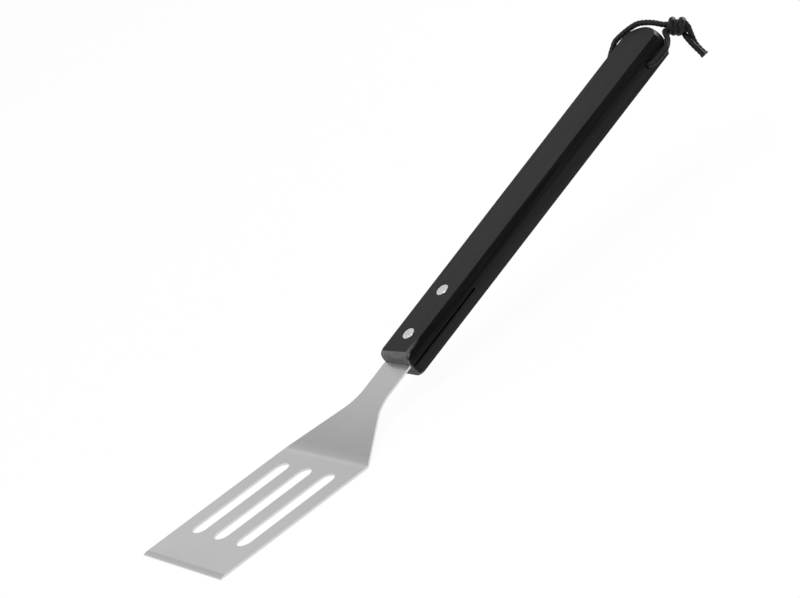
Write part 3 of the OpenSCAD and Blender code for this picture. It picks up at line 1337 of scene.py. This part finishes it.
@dataclass
class WoodHandle:
    """One stick of wood: flat above and below, bulging at its sides, round at its rear end."""

    slope: Slope
    face_front_w: float = 22.8
    face_rear_w: float = 25.3
    side_bulge: float = 2.8
    nose_corner_r: float = 3
    nose_top_r: float = 2
    nose_bottom_r: float = 1.4
    tail_r: float = 16
    arris_r: float = 0.5
    kerf_h: float = 1.4
    rivet_bore: float = 7.75
    rivet_seat: float = 1.5
    shank_bore: float = 5.1
    hole_d: float = 4
    hole_flare: float = 0.6
    overrun: float = 2
    weld: float = 1e-3
    arris_steps: int = 3
    arris_deg: float = 26
    round_steps: tuple[float, ...] = (0, 0.08, 0.25, 0.5, 0.8, 1.15, 1.5, 2)
    wall_steps: int = 6
    nose_steps: int = 4
    corner_steps: int = 6
    side_steps: int = 30
    tail_steps: int = 22
    bore_steps: int = 64
    hole_steps: int = 40

    @property
    def side_r(self) -> float:
        """Radius of the bulging sides, seen from the front."""
        half = self.slope.handle_t / 2
        return (half**2 + self.side_bulge**2) / (2 * self.side_bulge)

    def half_width(self, along: float, up: float) -> float:
        """Half the stick's width.

        Args:
            along: Distance from its front end.
            up: Height above its middle.

        Returns:
            Distance from the middle to one side.
        """
        share = along / self.slope.handle_len
        face = (self.face_front_w + (self.face_rear_w - self.face_front_w) * share) / 2
        return face + math.sqrt(self.side_r**2 - up**2) - self.side_r + self.side_bulge

    @staticmethod
    def rounding(up: float, half: float, radius: float) -> float:
        """How far an end stands back at a height where its edge is rounded."""
        into = max(0.0, abs(up) - (half - radius))
        return radius - math.sqrt(max(radius**2 - into**2, 0.0))

    def outline(self, up: float) -> list[Vector]:
        """The stick's outline at one height, anticlockwise seen from above.

        Args:
            up: Height above its middle.

        Returns:
            As many points at every height, in the handle's frame.
        """
        half = self.slope.handle_t / 2
        nose = self.rounding(up, half, self.nose_top_r if up > 0 else self.nose_bottom_r)
        swell = self.slope.tail_side_r
        bulge = math.sqrt(swell**2 - up**2) - swell + self.slope.tail_bulge
        length, radius = self.slope.handle_len, self.nose_corner_r
        front_half = self.half_width(nose + radius, up)
        side = []
        for i in range(self.nose_steps):
            side.append((nose, (front_half - radius) * i / self.nose_steps))
        for i in range(self.corner_steps):
            angle = math.pi / 2 * i / self.corner_steps
            side.append(
                (
                    nose + radius * (1 - math.cos(angle)),
                    front_half - radius + radius * math.sin(angle),
                )
            )
        centre, reach = length - self.slope.tail_bulge - self.tail_r, self.tail_r + bulge
        end = centre
        for _ in range(8):
            end = centre + math.sqrt(max(reach**2 - self.half_width(end, up) ** 2, 0))
        for i in range(self.side_steps):
            along = nose + radius + (end - nose - radius) * i / self.side_steps
            side.append((along, self.half_width(along, up)))
        last = math.atan2(self.half_width(end, up), end - centre)
        for i in range(self.tail_steps):
            angle = last * (1 - i / self.tail_steps)
            side.append((centre + reach * math.cos(angle), reach * math.sin(angle)))
        right = [Vector((x, -y, up)) for x, y in side]
        left = [Vector((x, y, up)) for x, y in reversed(side[1:])]
        return [*right, Vector((centre + reach, 0, up)), *left]

    def heights(self) -> list[float]:
        """Heights of the stick's outlines, close together where its edges are round.

        Returns:
            Heights above its middle, from the lowest.
        """
        half = self.slope.handle_t / 2
        rise = [half - step for step in self.round_steps]
        wall = half - self.round_steps[-1]
        rise += [wall - i * wall / self.wall_steps for i in range(1, self.wall_steps)]
        return sorted([-r for r in rise] + [0.0] + rise)

    def stick(self) -> bmesh.types.BMesh:
        """Raises the stick through its outlines, from its bottom face to its top face.

        Returns:
            The stick before it is cut, open below, in the handle's frame in millimetres.
        """
        mesh = bmesh.new()
        levels = self.heights()
        first = self.outline(levels[0])
        bmesh.ops.create_circle(mesh, cap_ends=True, segments=len(first), radius=1)
        mesh.verts.ensure_lookup_table()
        ring = list(mesh.verts)
        for vertex, place in zip(ring, first):
            vertex.co = place
        cap = mesh.faces[:][0]
        for level in levels[1:]:
            order = {tuple(v.co): i for i, v in enumerate(ring)}
            grown = bmesh.ops.extrude_face_region(mesh, geom=[cap])
            fresh = [g for g in grown["geom"] if isinstance(g, bmesh.types.BMVert)]
            bmesh.ops.delete(mesh, geom=[cap], context="FACES_ONLY")
            cap = next(g for g in grown["geom"] if isinstance(g, bmesh.types.BMFace))
            ring = sorted(fresh, key=lambda v: order[tuple(v.co)])
            for vertex, place in zip(ring, self.outline(level)):
                vertex.co = place
        return mesh

    @staticmethod
    def seal(mesh: bmesh.types.BMesh) -> None:
        """Closes the stick's lower end and turns every face outwards."""
        bmesh.ops.contextual_create(mesh, geom=[e for e in mesh.edges if e.is_boundary])
        bmesh.ops.recalc_face_normals(mesh, faces=mesh.faces)

    def ease_arrises(self, mesh: bmesh.types.BMesh) -> None:
        """Rounds the long arrises and the rims of the rear end a little.

        Args:
            mesh: The sealed stick.
        """
        half = self.slope.handle_t / 2
        rims = [
            e
            for e in mesh.edges
            if all(abs(abs(v.co.z) - half) < TOUCH for v in e.verts)
            and e.calc_face_angle(0) > math.radians(self.arris_deg)
        ]
        bevel(mesh, rims, self.arris_r, self.arris_steps)

    @staticmethod
    def cutter(name: str, shape: Callable[[bmesh.types.BMesh], None]) -> bpy.types.Object:
        """Makes one solid that is cut out of the stick.

        Args:
            name: The cutter's name.
            shape: Function that fills an empty mesh in millimetres.

        Returns:
            The cutter as an object.
        """
        mesh = bmesh.new()
        shape(mesh)
        bmesh.ops.recalc_face_normals(mesh, faces=mesh.faces)
        return as_object(mesh, name)

    def kerf(self, mesh: bmesh.types.BMesh) -> None:
        """Shapes the saw cut for the tang.

        Args:
            mesh: Empty mesh that takes it.
        """
        length, past = self.slope.kerf_len, self.overrun
        place = Matrix.Translation(((length - past) / 2, 0, self.slope.kerf_rise))
        size = Matrix.Diagonal((length + past, 2 * self.face_rear_w, self.kerf_h, 1))
        bmesh.ops.create_cube(mesh, size=1, matrix=place @ size)

    def rivet_bores(self, mesh: bmesh.types.BMesh) -> None:
        """Shapes the seats of all four rivet heads, and the bores of the shanks between them.

        Args:
            mesh: Empty mesh that takes them.
        """
        half, wide, narrow = self.slope.handle_t / 2, self.rivet_bore / 2, self.shank_bore / 2
        seat, end = half - self.rivet_seat, half + self.overrun
        upper = [(narrow, seat), (wide, seat), (wide, end), (0, end)]
        profile = [(radius, -height) for radius, height in reversed(upper)] + upper
        for along in self.slope.rivets:
            turned(mesh, profile, self.bore_steps, Matrix.Translation((along, 0, 0)))

    def cord_hole(self, mesh: bmesh.types.BMesh) -> None:
        """Shapes the cross hole with its worn mouths.

        Args:
            mesh: Empty mesh that takes it.
        """
        along = self.slope.hole_along - self.slope.handle_front
        wall = self.half_width(along, 0)
        bore, flare = self.hole_d / 2, self.hole_flare
        out = [(bore, 0), (bore, wall - 1.6 * flare), (bore + 0.3 * flare, wall - 0.6 * flare)]
        end = wall + self.overrun
        out += [(bore + flare, wall), (bore + 2 * flare, end)]
        profile = [(0, -end)] + [(r, -h) for r, h in reversed(out[1:])] + out[1:] + [(0, end)]
        lay = Matrix.Translation((along, 0, 0)) @ Matrix.Rotation(math.pi / 2, 4, "X")
        turned(mesh, profile, self.hole_steps, lay)

    def build(self, material: bpy.types.Material) -> None:
        """Shapes the stick, eases its arrises and cuts it.

        Args:
            material: The wood's finish.
        """
        mesh = self.stick()
        self.seal(mesh)
        self.ease_arrises(mesh)
        blank = as_object(mesh, "handle_blank")
        cutters = [
            self.cutter("kerf_cut", self.kerf),
            self.cutter("rivet_cut", self.rivet_bores),
            self.cutter("cord_hole_cut", self.cord_hole),
        ]
        for solid in cutters:
            cut = blank.modifiers.new(solid.name, "BOOLEAN")
            cut.operation, cut.solver, cut.object = "DIFFERENCE", "EXACT", solid
        graph = bpy.context.evaluated_depsgraph_get()
        carved = bmesh.new()
        carved.from_object(blank, graph)
        for solid in (blank, *cutters):
            data = solid.data
            bpy.data.objects.remove(solid)
            bpy.data.meshes.remove(data)
        bmesh.ops.remove_doubles(carved, verts=carved.verts, dist=self.weld)
        bmesh.ops.dissolve_degenerate(carved, edges=carved.edges, dist=self.weld)
        place_mesh(carved, self.slope.handle)
        piece = finish_mesh(carved, "stained_handle", material, crease_deg=38)
        fit_out(piece, Body.TURNER, Slot.WOOD, "handle")


def turned(
    mesh: bmesh.types.BMesh, profile: list[tuple[float, float]], steps: int, matrix: Matrix
) -> None:
    """Turns a profile round Z into a closed shape.

    Args:
        mesh: Mesh that takes it.
        profile: Radius and height of each point, from one end of the axis to the other.
        steps: Faces round the shape.
        matrix: Where the shape goes.
    """
    before = set(mesh.verts)
    points = [mesh.verts.new((radius, 0, height)) for radius, height in profile]
    edges = [mesh.edges.new(pair) for pair in zip(points, points[1:])]
    bmesh.ops.spin(
        mesh,
        geom=[*points, *edges],
        cent=(0, 0, 0),
        axis=(0, 0, 1),
        angle=FULL_TURN,
        steps=steps,
        use_merge=True,
        use_duplicate=False,
    )
    fresh = [v for v in mesh.verts if v not in before]
    bmesh.ops.remove_doubles(mesh, verts=fresh, dist=WELD)
    fresh = [v for v in mesh.verts if v not in before]
    bmesh.ops.transform(mesh, matrix=matrix, verts=fresh)


# The rivets.


@dataclass
class Rivet:
    """A two-piece rivet: a head on a hollow shank above, a head on a solid shank below."""

    slope: Slope
    name: str
    along: float
    head_d: float = 7.5
    head_t: float = 1.5
    socket_d: float = 5
    bore_d: float = 3.25
    pin_d: float = 3.2
    end_gap: float = 0.3
    rim_r: float = 0.35
    rim_steps: int = 4
    turn_steps: int = 64
    dish: float = 0.06
    dish_share: float = 0.55
    flat_share: float = 0.8
    mottled_r: float = 3.2

    def head(self, top: float) -> list[tuple[float, float]]:
        """Profile of the head from the middle of its face to its seat.

        Args:
            top: Height of the face.

        Returns:
            Radius and height of each point.
        """
        edge = self.head_d / 2
        low = top - self.dish
        points = [(0.0, low), (edge * self.dish_share, low), (edge * self.flat_share, top)]
        for i in range(self.rim_steps + 1):
            angle = math.pi / 2 * i / self.rim_steps
            points.append(
                (
                    edge - self.rim_r + self.rim_r * math.sin(angle),
                    top - self.rim_r * (1 - math.cos(angle)),
                )
            )
        return [*points, (edge, top - self.head_t)]

    def build(self, material: bpy.types.Material) -> None:
        """Turns both halves and sets them in the handle.

        Args:
            material: The rivet's finish.
        """
        half = self.slope.handle_t / 2
        seat = half - self.head_t
        shank = self.slope.handle_t - 2 * self.head_t - self.end_gap
        outer, bore, pin = self.socket_d / 2, self.bore_d / 2, self.pin_d / 2
        socket = self.head(half) + [(outer, seat), (outer, seat - shank), (bore, seat - shank)]
        socket += [(bore, seat), (0.0, seat)]
        solid = self.head(half) + [(pin, seat), (pin, seat - shank), (0.0, seat - shank)]
        flip = Matrix.Rotation(math.pi, 4, "X")
        shift = Matrix.Translation((self.along, 0, 0))
        for part, profile, turn in (("socket", socket, Matrix()), ("pin", solid, flip)):
            mesh = bmesh.new()
            middle = mesh.verts.layers.float.new("head_middle")
            turned(mesh, profile, self.turn_steps, shift @ turn)
            for vertex in mesh.verts:
                reach = math.hypot(vertex.co.x - self.along, vertex.co.y)
                vertex[middle] = max(0.0, min(1.0, self.mottled_r - reach))
            bmesh.ops.recalc_face_normals(mesh, faces=mesh.faces)
            place_mesh(mesh, self.slope.handle)
            node = f"{self.name}_rivet_{part}"
            piece = finish_mesh(mesh, f"{node}_head", material, crease_deg=45)
            fit_out(piece, Body.TURNER, Slot.RIVET, node)


# Floor, light and camera.


@dataclass(frozen=True)
class Softbox:
    """A soft square lamp: its name, its place and side in metres, and its power in watts."""

    name: str
    place: tuple[float, float, float]
    size: float
    watts: float


@dataclass
class Studio:
    """White sweep, even light and the camera, in metres.

    The world's bands are pairs of a direction's height or depth, between which its light dims.
    """

    lens_mm: float = 109.197
    film_mm: float = 36.0
    camera_place: tuple[float, float, float] = (-0.62177, -1.03752, 0.50613)
    camera_turn_deg: tuple[float, float, float] = (67.28916, 22.59613, -39.16798)
    camera_sees: tuple[float, float] = (0.05, 60)
    floor_size: float = 40.0
    floor_glow: float = 0.95
    overhead_band: tuple[float, float] = (0.36, 0.66)
    overhead_dim: float = 0.45
    front_band: tuple[float, float] = (0.25, -0.45)
    front_dim: float = 0.72
    aim: tuple[float, float, float] = (0, 0, 0.04)
    lamps: tuple[Softbox, ...] = (
        Softbox("top_softbox", (-0.5, -0.3, 1.5), 1.0, 16),
        Softbox("right_softbox", (1.35, 0.2, 0.42), 0.7, 11),
    )

    def add_camera(self) -> None:
        """Sets the camera where the photograph was taken from."""
        data = bpy.data.cameras.new("camera")
        data.lens, data.sensor_width = self.lens_mm, self.film_mm
        data.clip_start, data.clip_end = self.camera_sees
        camera = add_object("camera", data)
        turn = Euler([math.radians(angle) for angle in self.camera_turn_deg])
        place = Matrix.Translation(Vector(self.camera_place))
        camera.matrix_world = place @ turn.to_matrix().to_4x4()
        bpy.context.scene.camera = camera

    @staticmethod
    def seen(tree: bpy.types.NodeTree) -> Feed:
        """One for rays that the camera, a mirror or glass sends out.

        Args:
            tree: Node tree that takes the nodes.

        Returns:
            Node whose output is 1 for those rays.
        """
        rays = add_node(tree, "ShaderNodeLightPath").outputs
        seen = rays["Is Camera Ray"]
        for kind in ("Is Glossy Ray", "Is Transmission Ray"):
            seen = add_node(tree, "ShaderNodeMath", {0: seen, 1: rays[kind]}, operation="MAXIMUM")
        return seen

    def add_floor(self) -> None:
        """Lays the white floor, which keeps a faint shadow."""
        mesh = bmesh.new()
        bmesh.ops.create_grid(mesh, x_segments=1, y_segments=1, size=self.floor_size / 2)
        floor = as_object(mesh, "floor")
        material, tree = new_material("white_paper_sweep")
        matt = add_node(tree, "ShaderNodeBsdfDiffuse", {"Color": "#f4f4f4"})
        glow = add_node(tree, "ShaderNodeEmission", {"Color": "#ffffff", "Strength": 1.0})
        share = weighted_sum(tree, [(self.seen(tree), self.floor_glow)])
        dress_mixed(tree, share, matt, glow)
        floor.data.materials.append(material)

    def add_world(self) -> None:
        """Surrounds the object with a white tent that is dim overhead and on the camera's side."""
        world = bpy.data.worlds.new("studio")
        bpy.context.scene.world = world
        world.use_nodes = True
        tree = world.node_tree
        tree.nodes.clear()
        way = add_node(tree, "ShaderNodeTexCoord").outputs["Generated"]
        parts = add_node(tree, "ShaderNodeSeparateXYZ", {0: way}).outputs
        high = stepped(tree, parts["Z"], [(self.overhead_band, -self.overhead_dim)], 1.0)
        front = stepped(tree, parts["Y"], [(self.front_band, -self.front_dim)], 1.0)
        tent = add_node(tree, "ShaderNodeMath", {0: high, 1: front}, operation="MULTIPLY")
        direct = add_node(tree, "ShaderNodeLightPath").outputs["Is Camera Ray"]
        strength = add_node(tree, "ShaderNodeMath", {0: tent, 1: direct}, operation="MAXIMUM")
        light = add_node(tree, "ShaderNodeBackground", {"Color": "#ffffff", "Strength": strength})
        add_node(tree, "ShaderNodeOutputWorld", {"Surface": light})

    def add_lamp(self, box: Softbox) -> None:
        """Hangs one soft lamp that points at the object.

        Args:
            box: The lamp.
        """
        data = bpy.data.lights.new(box.name, "AREA")
        data.size, data.energy = box.size, box.watts
        lamp = add_object(box.name, data)
        place = Vector(box.place)
        turn = (place - Vector(self.aim)).to_track_quat("Z", "Y").to_matrix().to_4x4()
        lamp.matrix_world = Matrix.Translation(place) @ turn

    def build(self) -> None:
        """Sets the view, the floor and the light."""
        self.add_floor()
        self.add_world()
        for box in self.lamps:
            self.add_lamp(box)
        bpy.context.scene.view_settings.view_transform = "Standard"


def main() -> None:
    """Builds every piece in order around the CAD frame."""
    logging.basicConfig(level=logging.INFO, format="%(message)s")
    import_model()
    slope = Slope()
    studio = Studio()
    studio.add_camera()
    HangingCord(slope).build(WaxedCord().build())
    BladeSheet(slope).build(SatinSteel().build(slope))
    WoodHandle(slope).build(StainedBeech().build(slope))
    rivet_metal = GroundRivet().build()
    for name, along in zip(("front", "rear"), slope.rivets):
        Rivet(slope, name, along).build(rivet_metal)
    studio.build()


if __name__ == "__main__":
    main()
